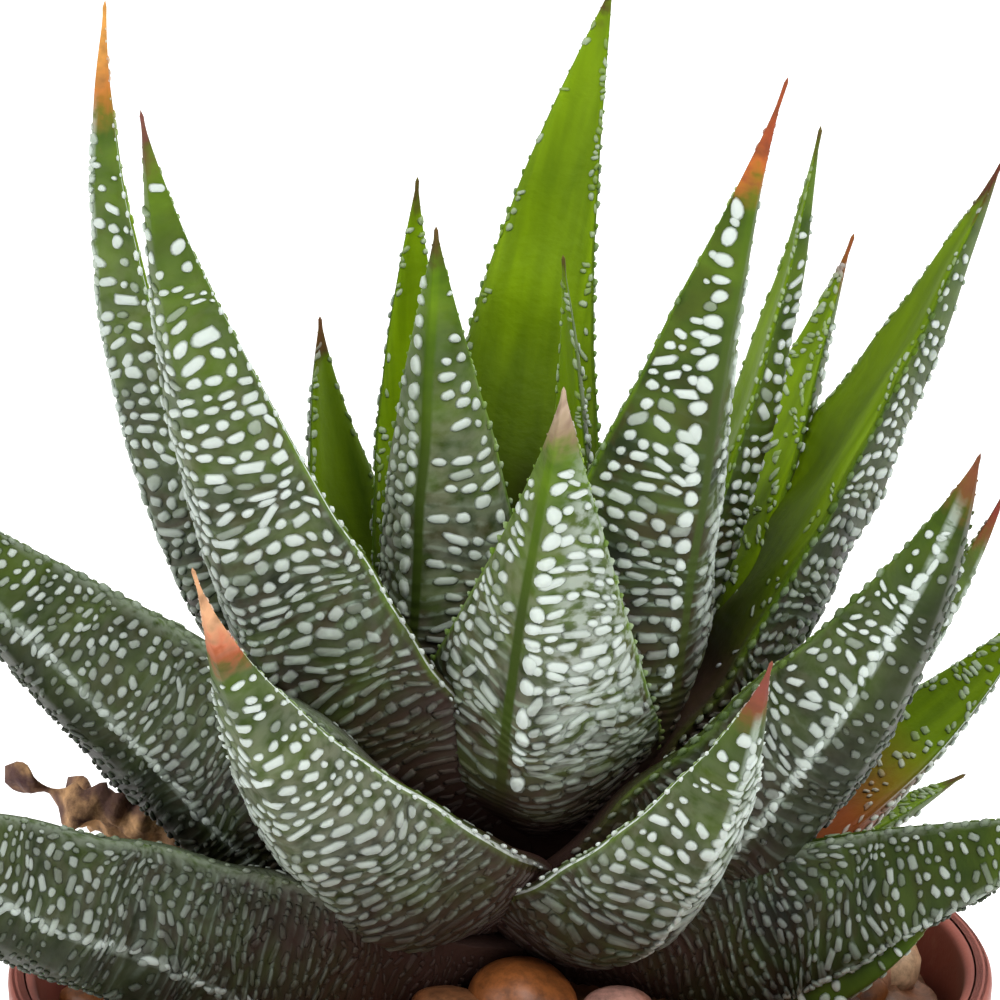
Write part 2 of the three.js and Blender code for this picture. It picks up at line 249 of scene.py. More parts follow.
# The drainage holes are cut out of the floor.
bore, below, above = DRAINS["radius"], DRAINS["below"], DRAINS["above"]
drain_profile = np.array([[0, below], [bore, below], [bore, above], [0, above]], float)
drain_points, *drain_faces = revolved(drain_profile, DRAINS["sides"])
turns = 2 * np.pi * np.arange(DRAINS["count"]) / DRAINS["count"]
centres = DRAINS["ring"] * np.stack([np.cos(turns), np.sin(turns), 0 * turns], -1)
holes = joined([(centre + drain_points, *drain_faces) for centre in centres])
drills = put("drills", mesh_of("drills", *holes))
drilled = put("drilled", pot_mesh)
cut = drilled.modifiers.new("drains", "BOOLEAN")
cut.object = drills
cut.solver = "MANIFOLD"
bpy.context.view_layer.update()
pot_mesh = bpy.data.meshes.new_from_object(drilled.evaluated_get(bpy.context.evaluated_depsgraph_get()))
for helper in (drills, drilled):
    bpy.data.objects.remove(helper)
pot_mesh.materials.clear()
pot_mesh.set_sharp_from_angle(angle=SHARP_EDGE)

polypropylene, tree, shader = material("moulded polypropylene")
where = add(tree, "TexCoord").outputs["Object"]
mottle, grain, scuff = (
    add(tree, "TexNoise", {"Vector": where, "Scale": 1 / size, "Detail": detail, "Roughness": rough})
    for size, detail, rough in ((9 * MM, 5, 0.5), (0.35 * MM, 2, 0.5), (2.5 * MM, 8, 0.7))
)
warm = coat("#8a4236", "#a85f4e", (mottle.outputs["Fac"], 0, 1))
dusty = coat(warm, "#c79a86", (scuff.outputs["Fac"], 0.58, 0.8), most=0.35)
rough = add(tree, "MapRange", {"Value": scuff.outputs["Fac"], "To Min": 0.42, "To Max": 0.62})
fine = grain.outputs["Fac"]
dress(tree, shader, dusty, rough.outputs[0], fine, strength=0.25, depth=0.08, IOR=POLYPROPYLENE_IOR)
place("plastic_pot", pot_mesh, polypropylene, "pot", "pot")

# The soil
# Peat with a little grit, filled to just under the rim round the root end of the stem. It shows
# between the pebbles and in the drainage holes.

SOIL_GAP = 0.6
SOIL_TOP = POT["height"] - 5.2
SOIL_MOUND = 1
MOUND_REACH = 27
SOIL_SIDES = 120
soil_foot = POT["floor"] + 0.3


def unit(vectors):
    """Vectors scaled to a length of one."""
    return vectors / np.linalg.norm(vectors, axis=-1, keepdims=True)


def lumps(points, size, seed, waves=14):
    """Smooth noise of about -1 to 1: the sum of plane waves of random directions, about size long."""
    draw = np.random.default_rng(seed)
    ways = unit(draw.normal(size=(waves, np.shape(points)[-1])))
    ways *= 2 * np.pi / size * draw.uniform(0.6, 1.5, (waves, 1))
    phase = draw.uniform(0, 2 * np.pi, waves)
    return np.sin(points @ ways.T + phase).sum(-1) / np.sqrt(waves)


def fill_radius(z):
    """Radius of what fills the pot at height z."""
    share = (z - POT["floor"]) / (POT["height"] - POT["edge"] - POT["floor"])
    return inner_foot + (inner_top - inner_foot) * share - SOIL_GAP


soil_wall = np.linspace(soil_foot, SOIL_TOP - 0.6, 24)
soil_reach = np.linspace(fill_radius(SOIL_TOP) - 0.6, 1, 40)
soil_profile = np.concatenate(
    [
        [[0, soil_foot]],
        np.stack([np.linspace(2, fill_radius(2) - 0.5, 12), np.full(12, soil_foot)], -1),
        np.stack([fill_radius(soil_wall), soil_wall], -1),
        np.stack([soil_reach, SOIL_TOP + SOIL_MOUND * (1 - (soil_reach / MOUND_REACH) ** 2)], -1),
        [[0, SOIL_TOP + SOIL_MOUND]],
    ]
)
soil_points, soil_quads, soil_triangles = revolved(soil_profile, SOIL_SIDES)
crumbs = 0.3 * lumps(soil_points, 3.2, 1) + 0.2 * lumps(soil_points, 1.5, 2)
soil_points[:, 2] += np.where(soil_points[:, 2] > SOIL_TOP - 0.5, crumbs - 0.2, 0)
peat, tree, shader = material("potting peat")
where = add(tree, "TexCoord").outputs["Object"]
crumb = add(tree, "TexNoise", {"Vector": where, "Scale": 1 / (1.1 * MM), "Detail": 8, "Roughness": 0.7})
brown = coat("#130c08", "#4a3322", (crumb.outputs["Fac"], 0, 1))
dress(tree, shader, brown, 0.92, crumb.outputs["Fac"], strength=0.8, depth=0.5)
place("potting_soil", mesh_of("soil", soil_points, soil_quads, soil_triangles), peat, "soil", "soil")

# The leaves
# Thick succulent leaves, oldest first: a flat bright inner face, and a keeled outer face whose rows
# of raised white tubercles run together into bars towards the base. Small teeth line the margins.

LEAF_IOR = 1.42
# The leaves grow from this far beside the pot's axis and outside the stem's middle, in millimetres.
AXIS_OFFSET = 0.9
LEAF_START = 2
# Where along a leaf it is widest, the share of that width at its base, and the power of its taper.
WIDEST = 0.26
BASE_SHARE = 0.72
TAPER = 1.2
# Each leaf by the azimuth and reach of its tip, the heights of its tip and base above the rim, and its
# bend, width, roll and bow. The last value, slim, is the power that draws its tip in.
Leaf = namedtuple("Leaf", "name azimuth reach height rise bend width roll bow slim")
LEAVES = [
    ("low_left", 202, 52, 21, 3.8, 36, 19.5, 66, 0, 1.1),
    ("low_right", 348, 37, 12.8, 3.2, 18, 18, -60, 0, 1.1),
    ("small_right", 342, 26.8, 6.5, 1.6, 80, 8, -50, 0, 1.1),
    ("low_back_right", 24, 30.5, 8, 3, 15, 12, 0, 0, 1.1),
    ("low_back", 100, 31, 13, 3.6, 30, 12, 0, 0, 1.1),
    ("low_back_left", 150, 30, 11, 3.6, 20, 11, 0, 0, 1.1),
    ("low_far_right", 58, 31, 13, 4, 30, 12, 0, 0, 1.1),
    ("front_left", 232, 30.5, 33.5, 7.5, 51, 17.5, 15, 0, 1.5),
    ("front_right", 307, 25, 26.4, 5.2, 50, 14.5, -10, 0, 1.3),
    ("left", 195, 41, 36, 6.5, 14, 21.5, 52, 0, 1.1),
    ("right_low", 16, 34, 21, 5, 50, 13.5, 20, 0, 1.1),
    ("right_rear", 6, 30, 29.8, 6.5, 45, 11, -15, 0, 1.1),
    ("right", 340, 29.3, 36, 7, 47, 19, -40, 0, 1.1),
    ("back_right", 78, 22, 30, 7, 35, 12.5, 0, 0, 1.1),
    ("back_left", 115, 20, 26, 7, 35, 12, 0, 0, 1.1),
    ("rear_left", 137, 16.2, 38, 8, 46, 12.5, 0, 0, 1.1),
    ("tall_left_rear", 180, 24.3, 61, 9, 50, 13, 15, 0, 1.1),
    ("tall_left", 211, 25.5, 58, 9.5, 33, 16, 30, 0, 1.2),
    ("front", 280, 16.3, 42, 12, 42, 15, -35, 0, 1.1),
    ("tall_right", 12, 30, 49.3, 9, 13, 16, 2, 0, 1.1),
    ("upper_right", 30, 23.8, 43, 9, 20, 16, 0, 0, 1.35),
    ("right_behind", 9, 18.5, 52.4, 10, 20, 9, 0, 0, 1.1),
    ("right_centre", 331, 18.3, 58.8, 10, 5, 17, -25, -2.4, 1.45),
    ("back_tall", 64, 13.4, 58.5, 10, 10, 12.5, 0, 3.5, 0.95),
    ("heart_rear", 123, 10.8, 47.4, 11, 25, 10.5, 0, 1, 1.1),
    ("heart_left", 213, 5.6, 47.9, 11, 10, 13, 38, 0, 1.1),
    ("heart_right", 35, 3.5, 44.6, 12, 6, 6.5, 0, -1, 1.1),
]
LEAVES = [Leaf(*row) for row in LEAVES]
HEART = {"back_tall", "heart_rear", "heart_right", "upper_right", "tall_right", "right_behind"}
# Tips that have dried or reddened: colour, how far it reaches down the leaf in millimetres, and the
# colour where it meets the living skin.
TIPS = {
    "tall_left_rear": ("#d9984a", 6.2, "#b86a2c"),
    "tall_left": ("#7a4a44", 3, "#5c3c2c"),
    "right_centre": ("#96482a", 6.6, "#bc6a2c"),
    "upper_right": ("#8f4a28", 3, "#7a5020"),
    "tall_right": ("#5e2c20", 3, "#4c3018"),
    "rear_left": ("#6a4428", 2.6, "#4c4418"),
    "right": ("#78442e", 3.2, "#6a4e22"),
    "right_rear": ("#7a3428", 4, "#6a4820"),
    "front": ("#b09a84", 3.4, "#8a7a58"),
    "front_left": ("#d9a57c", 6.2, "#b8543a"),
    "front_right": ("#84463c", 4, "#7c4c2c"),
}
PLAIN_TIP = ("#5f4a26", 1.4, "#4c4418")
# Leaves whose keel is a rough white line, those whose keel is a bare green line, with the side of it
# that a column of large tubercles stands on, and those whose margins are white.
WHITE_KEEL = {"low_left", "right", "front_right", "right_rear", "low_right", "left", "tall_left_rear"}
BARE_KEEL = {"front": 1, "heart_left": -1, "right_centre": -1}
WHITE_MARGIN = {
    "front_left": 0.08,
    "tall_left": 0.045,
    "tall_left_rear": 0.04,
    "front_right": 0.06,
    "right_low": 0.05,
}
# The side of the keel that faces down, on leaves that lie over: it is painted dark and its tubercles
# dimmed, as painted shade.
SHADED_SIDE = {"low_left": -1, "left": -1, "right": 1, "low_right": 1}
# How far the keel lies off the middle at the base of leaves that lie over.
KEEL_SHIFT = {"right": -5, "left": 3.5, "low_left": 4, "front": -1.8}
# Tubercles that are dimmer than on other leaves, as painted shade on the low leaves that lie under the
# others, and margins that are more deeply notched.
FAINT = {"low_left": 0.66, "left": 0.7, "low_right": 0.6, "small_right": 0.8}
# Leaves with finer rows of tubercles, and those with a pale grey coat over the whole outer face: a painted
# sheen that lightens the leaves facing the lamps.
FINE = {"low_left": 0.72, "left": 0.74, "low_right": 0.72, "right": 0.9, "front": 0.86, "front_left": 0.94}
PAINTED_SHEEN = {
    "front": 0.24,
    "heart_left": 0.26,
    "front_left": 0.26,
    "front_right": 0.16,
    "tall_left": 0.12,
    "tall_left_rear": 0.12,
    "low_left": 0.08,
    "left": 0.08,
    "right": 0.1,
}
NOTCHED = {"tall_right", "low_right", "right", "tall_left_rear", "left"}
SILVER_MARGIN = {"left", "low_left", "low_right"}
RED_BASE = {"right_low", "low_back_right"}
# Half of the outer face where the tubercles crowd, with a pale coat between them that is a painted
# highlight, and the place across the leaf from which they crowd.
CROWDED_HIGHLIGHT = {"front": (1, -9), "right_centre": (1, 0.6), "front_right": (1, 0.6)}
DOTTED_INSIDE = {"right_low", "small_right", "low_back_right", "upper_right"}
# Depth of the green: partly the older leaves being darker, partly painted light and shade, with the low
# leaves that lie in shade painted darker and the leaves that face the lamps lighter.
TONE = {
    "heart_left": 1.3,
    "front": 1.3,
    "tall_right": 0.85,
    "rear_left": 0.8,
    "low_left": 0.5,
    "left": 0.55,
    "low_right": 0.55,
    "right": 0.65,
    "right_rear": 0.7,
    "front_left": 0.75,
    "front_right": 0.8,
    "small_right": 0.8,
    "right_low": 0.72,
    "tall_left_rear": 1.1,
}
# Points across each face of the body, and the distance between its rings.
OUTER_POINTS = 27
INNER_POINTS = 11
ROW = 0.55
# The section: its reach round the face for each millimetre of width, half the thinnest tip, the power
# of the keel and its fall to the tip, its depth for the width, and that of the channel.
SECTION = 0.62
THIN_TIP = 0.14
KEEL_POWER = 1.95
KEEL_FALL = 0.75
DEPTH = 0.34
DEPTH_GROWTH = 0.16
CHANNEL = 0.1
# Where the rows start along the leaf, how far before the dried tip they end, where they change from
# bars to beads and over what share of the length, and how far from the end they thin out.
ROWS = {"from": 0.07, "before_tip": 0.4, "beads_from": 0.14, "beads_over": 0.28, "thinning": 14}
# The rows of tubercles: their pitch at the base and the tip, how far and in what length they wander,
# the share of the face that they cover, the most in a row, and half the bare strip on a green keel.
FIRST_PITCH = 0.74
LAST_PITCH = 1.06
WAVE = 0.34
WAVE_SIZE = 6
MARGIN = 0.84
ROW_MOST = 48
BARE_STRIP = 0.3
DOME_SIDES = 12
CAP = 0.72
# The teeth: the part of the length that has them, their pitch, and the shift of the second series.
TEETH = {"from": 0.16, "to": 0.97, "pitch": 1.15, "shift": 0.5, "sides": 6}
# Dots of the inner face for each millimetre of length, how far out they start, and their whiteness, on
# leaves that are dotted all over and on the others.
DOTS = {True: (3.4, 0.1, (0.15, 0.5)), False: (1.5, 0.62, (0.1, 0.55))}
OUTMOST_DOT = 0.86


def leaf_frame(leaf, t):
    """Point and directions of the middle line at t, from 0 at the stem to 1 at the tip: an arc in the
    upright plane of the azimuth, bowed sideways by half a sine wave, its section turned by the roll."""
    bend, azimuth, roll = np.radians([leaf.bend, leaf.azimuth, leaf.roll])
    run = leaf.reach - LEAF_START
    climb = leaf.height - leaf.rise
    length = np.hypot(run, climb) * (bend / 2) / np.sin(bend / 2)
    first = np.arctan2(climb, run) - bend / 2
    angle = (first + bend * t)[..., None]
    outward = np.array([np.cos(azimuth), np.sin(azimuth), 0])
    side = np.array([-np.sin(azimuth), np.cos(azimuth), 0])
    upward = np.array([0, 0, 1])
    out = LEAF_START + length / bend * (np.sin(angle) - np.sin(first))
    up = length / bend * (np.cos(first) - np.cos(angle))
    sway = np.pi * t[..., None]
    root = np.array([AXIS_OFFSET, 0, POT["height"] + leaf.rise])
    point = root + outward * out + upward * up + side * leaf.bow * np.sin(sway)
    along = upward * np.sin(angle) + outward * np.cos(angle)
    along = unit(along + side * (leaf.bow * np.pi / length) * np.cos(sway))
    level = unit(side - along * (along @ side)[..., None])
    turn = roll * np.sin(np.pi / 2 * t)[..., None]
    across = level * np.cos(turn) + np.cross(along, level) * np.sin(turn)
    return point, along, across, np.cross(along, across), length


def leaf_length(leaf):
    """Length of the middle line."""
    return leaf_frame(leaf, np.zeros(1))[-1]


def leaf_width(leaf, t):
    """Full width at t: it swells by a quarter sine wave from the base, then tapers by two powers."""
    swell = BASE_SHARE + (1 - BASE_SHARE) * np.sin(np.pi / 2 * np.minimum(t / WIDEST, 1))
    taper = 1 - np.maximum((t - WIDEST) / (1 - WIDEST), 0) ** TAPER
    return leaf.width * swell * taper**leaf.slim


def leaf_skin(leaf, t, v, inner):
    """Point of the skin at t along and v across, from -1 to 1 and even round the section. The outer
    face is a rounded keel, sharper towards the tip, and the inner face a shallow channel."""
    point, along, across, facing, length = leaf_frame(leaf, t)
    width = leaf_width(leaf, t)
    half = np.maximum(width / 2, THIN_TIP)
    u = np.sin(np.pi / 2 * v)
    keel = KEEL_POWER - KEEL_FALL * np.minimum(1.5 * t, 1)
    depth = np.maximum(width * (DEPTH + DEPTH_GROWTH * t), 0.16)
    outer_lift = -depth * np.maximum(1 - np.abs(u) ** keel, 0) ** 0.85
    fold = np.maximum(1 - u * u, 0)
    inner_lift = np.maximum(width * CHANNEL, 0.1) * np.sqrt(fold) - CHANNEL * width * fold**2
    chord = point + across * (u * half)[..., None]
    swell = lumps(chord, 7, len(leaf.name)) * 0.014 * width
    lift = np.where(inner, inner_lift, outer_lift) + swell
    return chord + facing * lift[..., None]


def row_wave(leaf, x, s):
    """How far the rows of tubercles wander along the leaf at a place on it, in millimetres."""
    return WAVE * lumps(np.stack(np.broadcast_arrays(x, s), -1), WAVE_SIZE, len(leaf.name) + 40)


def row_number(length, s, fine):
    """The row of tubercles at arc length s: their pitch grows evenly from the base to the tip."""
    growth = (LAST_PITCH - FIRST_PITCH) / length
    return np.log(1 + growth * s / FIRST_PITCH) / (growth * fine)


def row_place(length, row, fine):
    """Arc length of a row: the inverse of row_number."""
    growth = (LAST_PITCH - FIRST_PITCH) / length
    return FIRST_PITCH / growth * (np.exp(growth * row * fine) - 1)


def blade(leaf, skin_of, t, v, outer_count):
    """A closed blade with a pole at each end: rings of points round the section at each t, the first
    outer_count of them on its outer face. Gives its points, faces, and each point's t, v and side."""
    around = len(v)
    grid_t, grid_v = np.meshgrid(t, v, indexing="ij")
    inner = np.broadcast_to(np.arange(around) >= outer_count, grid_t.shape)
    skin = skin_of(leaf, grid_t, grid_v, inner).reshape(-1, 3)
    points = np.concatenate([skin, leaf_frame(leaf, np.array([0.0, 1.0]))[0]])
    fans = end_fans(around, len(skin) - around, len(skin), len(skin) + 1)
    grids = (np.append(grid_t, [0, 1]), np.append(grid_v, [0, 0]), np.append(inner, [0, 0]))
    return points, ring_faces(len(t), around), fans, np.stack(grids, -1)


def leaf_body(leaf):
    """The living leaf's blade, with a whiteness of zero for each point."""
    length = leaf_length(leaf)
    t = 0.992 * np.linspace(0, 1, int(length / ROW))
    v = np.concatenate([np.linspace(-1, 1, OUTER_POINTS), np.linspace(1, -1, INNER_POINTS + 2)[1:-1]])
    body = blade(leaf, leaf_skin, t, v, OUTER_POINTS)
    return *body, np.zeros(len(body[0]))


def leaf_rows(leaf, draw):
    """Where the tubercles of the outer face are. Each row across the leaf is filled from one margin to
    the other: half lengths and gaps are drawn, and their running sum gives the places. Gives each
    one's arc length, place across, half length, half width, height, whiteness and tilt."""
    name = leaf.name
    length = leaf_length(leaf)
    end = length - TIPS.get(name, PLAIN_TIP)[1] - ROWS["before_tip"]
    fine = FINE.get(name, 1)
    first, last = (int(row_number(length, place, fine)) for place in (ROWS["from"] * length, end))
    rows = np.arange(first, last)[:, None]
    shape = (len(rows), ROW_MOST)
    s = row_place(length, rows, fine)
    t = s / length
    reach = SECTION * leaf_width(leaf, t) * MARGIN
    beaded = np.clip((t - ROWS["beads_from"]) / ROWS["beads_over"], 0, 1)
    near_tip = np.clip((s - end + ROWS["thinning"]) / ROWS["thinning"], 0, 1)
    crowded_side, crowded_from = CROWDED_HIGHLIGHT.get(name, (0, 0))

    # Half lengths and gaps: shorter towards the tip, and closed up where they crowd.
    start = draw.uniform(-0.3, 0.6, (len(rows), 1)) - reach
    long = np.exp(draw.normal(np.log(0.6 - 0.17 * beaded), 0.42 - 0.12 * beaded, shape)).clip(0.24, 1.3)
    long = long * fine * (1 - 0.45 * near_tip)
    gap = draw.uniform(0, 0.12, shape) + draw.uniform(0, 0.14, shape) * beaded
    is_crowded = (start + np.cumsum(2 * long + gap, 1)) * crowded_side > crowded_from
    is_crowded = is_crowded & (name in CROWDED_HIGHLIGHT)
    long = long * np.where(is_crowded, 1.35, 1)
    gap = gap * np.where(is_crowded, 0.4, 1)
    x = start + np.cumsum(2 * long + gap, 1) - long
    pitch = fine * (FIRST_PITCH + (LAST_PITCH - FIRST_PITCH) * t) * (1 - 0.2 * near_tip)
    wide = pitch * (draw.uniform(0.15, 0.27, shape) + 0.13 * beaded) * np.where(is_crowded, 1.1, 1)

    # On the side that faces down they are smaller, and some are missing, most of all near the tip.
    keel_shift = KEEL_SHIFT.get(name, 0)
    off_keel = x - keel_shift * (1 - t)
    is_shaded_side = off_keel * SHADED_SIDE.get(name, 0) > 0.3
    long = long * np.where(is_shaded_side, 0.75, 1)
    wide = np.minimum(wide * np.where(is_shaded_side, 0.75, 1), long)
    missing = 0.03 + 0.55 * near_tip**1.5 + 0.12 * is_shaded_side
    if name in BARE_KEEL:
        missing = np.where(np.abs(off_keel) < BARE_STRIP + long, 1, missing)
    is_kept = (x + 0.6 * long < reach) & (draw.random(shape) > missing)

    # Whiteness, height, and how each one strays from its place and turns.
    faint = FAINT.get(name, 1)
    is_bright = draw.random(shape) > 1.15 - 0.8 * faint - 0.17 * beaded
    pale = np.where(is_bright, draw.uniform(0.8, 1, shape), draw.uniform(0.25, 0.65, shape))
    # Whiteness fades towards the base as painted shade deep in the rosette, further up the darker leaves,
    # and is dimmed as painted shade on the side that faces down.
    deep = min(TONE.get(name, 1), 1)
    base_shade_fade = np.clip((t - 0.36 + 0.13 * deep) / (0.5 - 0.2 * deep), 0.05, 1)
    pale = pale * base_shade_fade * np.where(is_shaded_side, 0.3, 1) * faint
    tall = draw.uniform(0.13, 0.23, shape) * np.clip(t / 0.3, 0.3, 1)
    sway = 0.3 * lumps(np.stack(np.broadcast_arrays(x, s), -1), 4, len(name) + 60)
    tilt = draw.normal(0, 0.15 + 0.13 * beaded, shape) + sway * (0.4 + 0.6 * beaded)
    s = s + draw.normal(0, 0.05 + 0.06 * beaded, shape)
    found = [np.stack([s, x, long, wide, tall, pale, tilt], -1)[is_kept]]

    if name in WHITE_KEEL:
        s = np.arange(0.26 * length, end - 1, 0.7)
        s = s + draw.normal(0, 0.1, len(s))
        keel = draw.normal(0, 0.12, len(s)) + keel_shift * (1 - s / length)
        found.append(column(s, keel, (0.12, 0.27), (0.3, 0.45), 0.15, (0.4 * faint, 0.9 * faint), draw))
    if name in BARE_KEEL:
        s = np.arange(0.28 * length, end - 1, 1.3)
        s = s + draw.normal(0, 0.12, len(s))
        beside = BARE_KEEL[name] * (BARE_STRIP + draw.uniform(0.42, 0.56, len(s)))
        beside = beside + keel_shift * (1 - s / length)
        found.append(column(s, beside, (0.34, 0.44), (0.42, 0.58), 0.24, (0.9, 1), draw))
    return np.concatenate(found)


def column(s, x, long, wide, tall, pale, draw):
    """Tubercles at these places, as leaf_rows gives them, with sizes and whiteness drawn from ranges."""
    size = (len(s),)
    drawn = [draw.uniform(*span, size) for span in (long, wide, (0.8 * tall, 1.2 * tall), pale)]
    return np.column_stack([s, x, *drawn, draw.normal(0, 0.3, size)])


def stud_faces(sides, is_turned):
    """Quads and triangles of studs, one for each value of is_turned, which turns the faces round. The
    points of a stud are a ring at its foot, a ring above it, its top, and one sunk in the leaf."""
    k = np.arange(sides)
    n = (k + 1) % sides
    quads = np.stack([k, n, sides + n, sides + k], -1)
    top = np.stack([sides + k, sides + n, np.full(sides, 2 * sides)], -1)
    under = np.stack([n, k, np.full(sides, 2 * sides + 1)], -1)
    first = (2 * sides + 2) * np.arange(len(is_turned))[:, None, None]
    for faces in (quads, np.concatenate([top, under])):
        all_faces = first + faces
        all_faces[is_turned] = all_faces[is_turned][:, :, ::-1]
        yield all_faces.reshape(-1, faces.shape[1])


def domes(leaf, spots, inner):
    """Low domes on the skin, one for each spot: the outline is a bar with round ends, with a raised
    ring inside it and a top, closed by a point sunk in the leaf. They follow the rows' wave."""
    length = leaf_length(leaf)
    s, x, long, wide, tall, pale, tilt = (value[:, None] for value in spots.T)
    # Values at the foot, at the raised ring, at the top and at the sunk point.
    counts = [DOME_SIDES, DOME_SIDES, 1, 1]
    turn = 2 * np.pi * (np.arange(DOME_SIDES) + 0.5) / DOME_SIDES
    angle = np.append(np.tile(turn, 2), [0, 0])
    share = np.repeat([1, CAP, 0, 0], counts)
    lift = np.repeat([-0.05, 0.8, 1, -0.4], counts)
    white = np.repeat([0.3, 0.97, 1, 0], counts)
    uneven = share * (1 + 0.05 * np.sin(3 * angle + 40 * x) + 0.1 * np.sin(2 * angle + 23 * s))
    end = np.minimum(wide, long)
    a = uneven * (np.sign(np.cos(angle)) * (long - end) + np.cos(angle) * end)
    b = uneven * np.sin(angle) * wide
    all_x = x + a * np.cos(tilt) - b * np.sin(tilt)
    all_s = s + a * np.sin(tilt) + b * np.cos(tilt)
    all_s = all_s + row_wave(leaf, all_x, all_s)
    t = np.clip(all_s / length, 0, 0.99)
    section = SECTION * leaf_width(leaf, np.clip(s / length, 0, 0.97))
    v = np.clip(all_x / section, -0.97, 0.97)
    step = 1e-3
    skin = leaf_skin(leaf, t, v, inner)
    ahead = leaf_skin(leaf, t + step, v, inner) - skin
    beside = leaf_skin(leaf, t, v + step, inner) - skin
    normal = unit(np.cross(ahead, beside))
    facing = leaf_frame(leaf, t)[3] * (1 if inner else -1)
    normal *= np.sign((normal * facing).sum(-1, keepdims=True))
    points = skin + normal * (lift * tall)[..., None]
    quads, caps = stud_faces(DOME_SIDES, np.full(len(s), not inner))
    places = np.stack([t, v, np.full(t.shape, float(inner))], -1).reshape(-1, 3)
    return points.reshape(-1, 3), quads, caps, places, (white * pale).ravel()


def teeth(leaf, draw):
    """Small teeth along both margins: points that lean to the tip, on a six-sided foot in the margin."""
    length = leaf_length(leaf)
    s = np.arange(TEETH["from"] * length, TEETH["to"] * length, TEETH["pitch"])
    s = np.concatenate([s, s + TEETH["shift"]])
    s = s + draw.normal(0, 0.12, len(s))
    side = np.where(np.arange(len(s)) < len(s) // 2, -1.0, 1.0)
    t = np.clip(s / length, 0, TEETH["to"])
    point, along, across, facing, _ = leaf_frame(leaf, t)
    half = np.maximum(leaf_width(leaf, t) / 2, THIN_TIP)
    size = draw.uniform(0.55, 0.95, len(s)) * np.clip(half / 3, 0.25, 1)
    size = size * (0.5 if leaf.name == "heart_rear" else 1.3 if leaf.name in NOTCHED else 0.9)
    sides = TEETH["sides"]
    # Values at the foot, at the ring above it, at the point and at the sunk point.
    counts = [sides, sides, 1, 1]
    turn = np.append(np.tile(2 * np.pi * np.arange(sides) / sides, 2), [0, 0])
    share = np.repeat([1, 0.7, 0, 0], counts)
    out = np.repeat([-0.12, 0.16, 0.27, -0.3], counts)
    lean = np.repeat([0, 0.1, 0.24, 0], counts)
    side, half, size = side[:, None], half[:, None], size[:, None]
    points = (
        point[:, None]
        + along[:, None] * ((0.42 * np.cos(turn) * share + lean) * size)[..., None]
        + facing[:, None] * ((0.2 * np.sin(turn) * share - 0.06) * size)[..., None]
        + across[:, None] * (side * (half + out * size))[..., None]
    )
    quads, caps = stud_faces(sides, side[:, 0] < 0)
    places = np.broadcast_to(np.stack([t, side[:, 0], 0 * t], -1)[:, None], points.shape)
    pale = np.zeros((len(s), points.shape[1]))
    whiteness = (0.3, 0.9) if leaf.name in WHITE_MARGIN else (0, 0.25)
    pale[:, sides:] = draw.uniform(*whiteness, len(s))[:, None]
    return points.reshape(-1, 3), quads, caps, places.reshape(-1, 3), pale.ravel()


